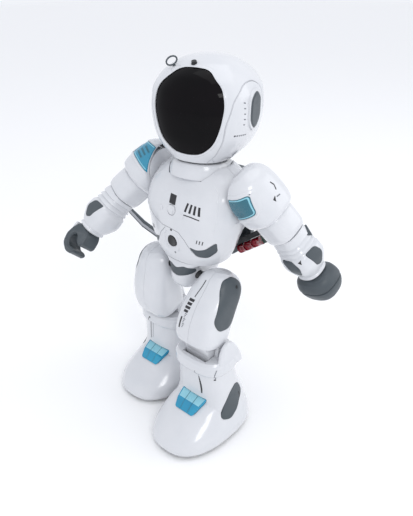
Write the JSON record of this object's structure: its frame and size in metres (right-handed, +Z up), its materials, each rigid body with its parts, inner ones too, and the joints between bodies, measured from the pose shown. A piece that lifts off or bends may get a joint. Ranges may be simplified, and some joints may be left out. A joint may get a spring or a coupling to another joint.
{
  "type": "toy robot",
  "caption": "Walking humanoid toy robot with a helmet and dark visor, turning head, swinging arms, curled hands, coupled walking legs, wheeled boots and a backpack.",
  "frame": {"origin": "on the floor under the middle of the whole robot's bounding box, in mid-stride", "axes": "+X the robot's left, -Y its front, +Z up"},
  "size_m": [0.2516, 0.1604, 0.3371],
  "materials": {
    "white_shell": "glossy moulded ABS",
    "grey_plastic": "satin",
    "gloss_black": "polished",
    "black_plastic": "matte",
    "teal_panel": "glossy",
    "blue_metallic": "pearl gloss",
    "battery_wrap": "shrink wrap",
    "red_plastic": "glossy",
    "green_plastic": "satin",
    "circuit_board": "solder mask",
    "wheel_rubber": "moulded rubber"
  },
  "bodies": {
    "torso": {"chest_front_shell": "white_shell", "chest_rear_shell": "white_shell", "collar_ring": "white_shell", "sensor_window": "gloss_black", "left_waist_insert": "grey_plastic", "right_waist_insert": "grey_plastic", "pelvis_shell": "white_shell", "pelvis_band": "grey_plastic", "hip_gearbox": "black_plastic", "main_circuit_board": "circuit_board", "speaker": "black_plastic", "backpack_shell": "grey_plastic", "battery_pack": "battery_wrap", "left_wing_rail": "black_plastic", "red_drums": "red_plastic", "green_cap": "green_plastic", "right_wing_blade": "grey_plastic"},
    "mode_button": {"mode_button": "white_shell"},
    "power_switch": {"power_switch": "black_plastic"},
    "battery_door": {"battery_door": "grey_plastic"},
    "head": {"helmet_front_shell": "white_shell", "helmet_rear_shell": "white_shell", "visor": "gloss_black", "left_cheek_panel": "white_shell", "right_cheek_panel": "white_shell", "left_ear_pad": "grey_plastic", "right_ear_pad": "grey_plastic", "forehead_sensor": "gloss_black", "helmet_loop": "grey_plastic", "neck_post": "white_shell"},
    "left_upper_arm": {"left_shoulder_shell": "white_shell", "left_shoulder_panel": "teal_panel", "left_upper_arm": "white_shell"},
    "left_forearm": {"left_forearm_shell": "white_shell", "left_forearm_pads": "grey_plastic", "left_hand": "grey_plastic"},
    "left_thigh": {"left_outer_thigh_shell": "white_shell", "left_inner_thigh_shell": "white_shell", "left_thigh_pad": "grey_plastic"},
    "left_boot": {"left_boot_shell": "white_shell", "left_instep_insert": "blue_metallic", "left_ankle_pad": "grey_plastic", "left_sole_plate": "grey_plastic"},
    "left_wheels": {"left_wheels": "wheel_rubber"},
    "right_upper_arm": {"right_shoulder_shell": "white_shell", "right_shoulder_panel": "teal_panel", "right_upper_arm": "white_shell"},
    "right_forearm": {"right_forearm_shell": "white_shell", "right_forearm_pads": "grey_plastic", "right_hand": "grey_plastic", "right_knuckle_plate": "white_shell"},
    "right_thigh": {"right_outer_thigh_shell": "white_shell", "right_inner_thigh_shell": "white_shell", "right_thigh_pad": "grey_plastic"},
    "right_boot": {"right_boot_shell": "white_shell", "right_instep_insert": "blue_metallic", "right_ankle_pad": "grey_plastic", "right_sole_plate": "grey_plastic"},
    "right_wheels": {"right_wheels": "wheel_rubber"}
  },
  "joints": [
    {"name": "head_turn", "type": "hinge", "parent": "torso", "child": "head", "pos_m": [0.0034, 0.0224, 0.249], "axis": [0.0335, 0.0099, 0.9994], "range_deg": [-60, 28]},
    {"name": "left_shoulder_swing", "type": "hinge", "parent": "torso", "child": "left_upper_arm", "pos_m": [0.0624, 0.0214, 0.2315], "axis": [1, 0, 0], "range_deg": [-116, 14]},
    {"name": "left_elbow_twist", "type": "hinge", "parent": "left_upper_arm", "child": "left_forearm", "pos_m": [0.08686, 0.03925, 0.1949], "axis": [-0.515, -0.3758, 0.7704], "range_deg": [-60, 60]},
    {"name": "right_shoulder_swing", "type": "hinge", "parent": "torso", "child": "right_upper_arm", "pos_m": [-0.0556, 0.0214, 0.2315], "axis": [1, 0, 0], "range_deg": [-48, 36]},
    {"name": "right_elbow_twist", "type": "hinge", "parent": "right_upper_arm", "child": "right_forearm", "pos_m": [-0.08006, -0.00584, 0.20124], "axis": [0.515, 0.5736, 0.637], "range_deg": [-60, 60]},
    {"name": "left_hip", "type": "hinge", "parent": "torso", "child": "left_thigh", "pos_m": [0.0429, -0.0006, 0.148], "axis": [1, 0, 0], "range_deg": [0, 31]},
    {"name": "right_hip", "type": "hinge", "parent": "torso", "child": "right_thigh", "pos_m": [-0.0361, -0.0006, 0.148], "axis": [1, 0, 0], "range_deg": [-31, 0]},
    {"name": "left_knee", "type": "hinge", "parent": "left_thigh", "child": "left_boot", "pos_m": [0.0429, -0.01557, 0.09404], "axis": [1, 0, 0], "range_deg": [-31, 0]},
    {"name": "right_knee", "type": "hinge", "parent": "right_thigh", "child": "right_boot", "pos_m": [-0.0361, 0.01436, 0.09404], "axis": [1, 0, 0], "range_deg": [0, 31]},
    {"name": "left_wheels_roll", "type": "hinge", "parent": "left_boot", "child": "left_wheels", "pos_m": [0.0429, -0.00156, 0.006], "axis": [1, 0, 0], "continuous": true},
    {"name": "right_wheels_roll", "type": "hinge", "parent": "right_boot", "child": "right_wheels", "pos_m": [-0.0361, 0.02837, 0.006], "axis": [1, 0, 0], "continuous": true},
    {"name": "mode_button_press", "type": "slide", "parent": "torso", "child": "mode_button", "axis": [0, 1, 0], "range_m": [0, 0.0009], "stiffness_N_per_m": 500, "springref_m": -0.0006},
    {"name": "power_switch_slide", "type": "slide", "parent": "torso", "child": "power_switch", "axis": [1, 0, 0], "range_m": [0, 0.005]},
    {"name": "battery_door_lift", "type": "slide", "parent": "torso", "child": "battery_door", "axis": [0, 1, 0], "range_m": [0, 0.02]}
  ],
  "couplings": [
    {"joint": "right_hip", "follows": "left_hip", "ratio": -1},
    {"joint": "left_knee", "follows": "left_hip", "ratio": -1},
    {"joint": "right_knee", "follows": "left_hip", "ratio": 1}
  ]
}
